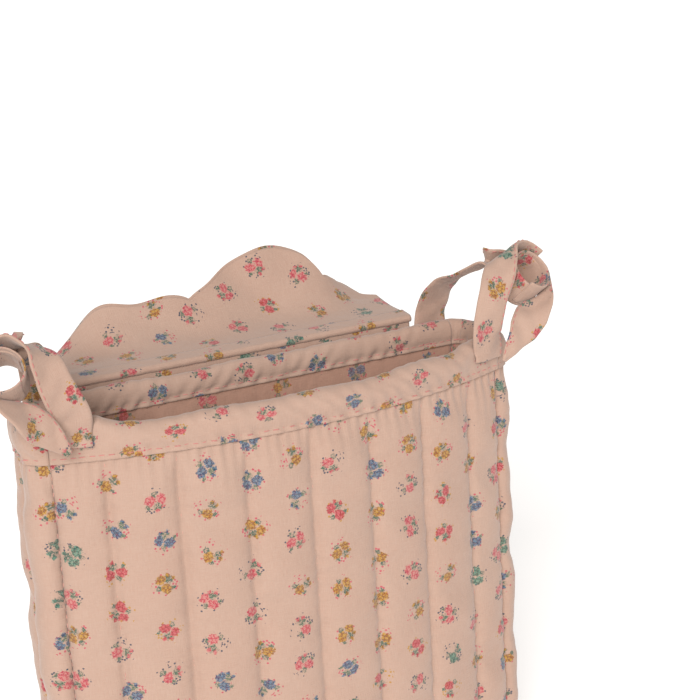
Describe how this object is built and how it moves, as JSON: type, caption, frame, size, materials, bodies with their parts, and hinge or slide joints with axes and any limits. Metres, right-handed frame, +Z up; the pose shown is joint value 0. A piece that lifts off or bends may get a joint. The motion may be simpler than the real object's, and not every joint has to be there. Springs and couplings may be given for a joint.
{
  "type": "diaper bag",
  "caption": "small quilted cotton diaper bag for a doll stroller: a padded compartment with folded mouth bands, a scalloped closing flap and cloth ties that knot round the handles",
  "frame": {"origin": "centre of the base's underside, where the bag stands", "axes": "+X across the width, -Y the bowed front, +Z up"},
  "size_m": [0.2324, 0.0941, 0.218],
  "materials": {
    "printed_cotton": "matt plain-weave cotton, dusty pink ground with small multicoloured rose posies",
    "lining_cotton": "the same printed cotton, used inside",
    "batting": "loose white polyester wadding",
    "thread": "rose sewing thread"
  },
  "bodies": {
    "bag": {"back_band": "printed_cotton", "back_batting": "batting", "back_lining": "lining_cotton", "back_panel": "printed_cotton", "back_stitching": "thread", "base_batting": "batting", "base_lining": "lining_cotton", "base_panel": "printed_cotton", "front_band": "printed_cotton", "front_batting": "batting", "front_lining": "lining_cotton", "front_panel": "printed_cotton", "front_stitching": "thread", "side_band_left": "printed_cotton", "side_band_right": "printed_cotton", "side_batting_left": "batting", "side_batting_right": "batting", "side_lining_left": "lining_cotton", "side_lining_right": "lining_cotton", "side_panel_left": "printed_cotton", "side_panel_right": "printed_cotton", "side_stitching_left": "thread", "side_stitching_right": "thread"},
    "flap": {"flap_face": "printed_cotton", "flap_backing": "printed_cotton", "flap_hem": "printed_cotton"},
    "tie_loop_left": {"front_tie_left": "printed_cotton", "handle_wrap_left": "printed_cotton", "rear_tie_left": "printed_cotton", "tie_tail_left": "printed_cotton"},
    "tie_loop_right": {"front_tie_right": "printed_cotton", "handle_wrap_right": "printed_cotton", "rear_tie_right": "printed_cotton", "tie_tail_right": "printed_cotton"}
  },
  "joints": [
    {"name": "flap_fold", "type": "hinge", "parent": "bag", "child": "flap", "pos_m": [0, 0.02732, 0.18775], "axis": [1, 0, 0], "range_deg": [-80, 138]},
    {"name": "left_loop_swing", "type": "hinge", "parent": "bag", "child": "tie_loop_left", "pos_m": [-0.082, 0.0063, 0.179], "axis": [0, -1, 0], "range_deg": [-6, 80]},
    {"name": "right_loop_swing", "type": "hinge", "parent": "bag", "child": "tie_loop_right", "pos_m": [0.082, 0.0063, 0.179], "axis": [0, 1, 0], "range_deg": [-6, 80]}
  ]
}
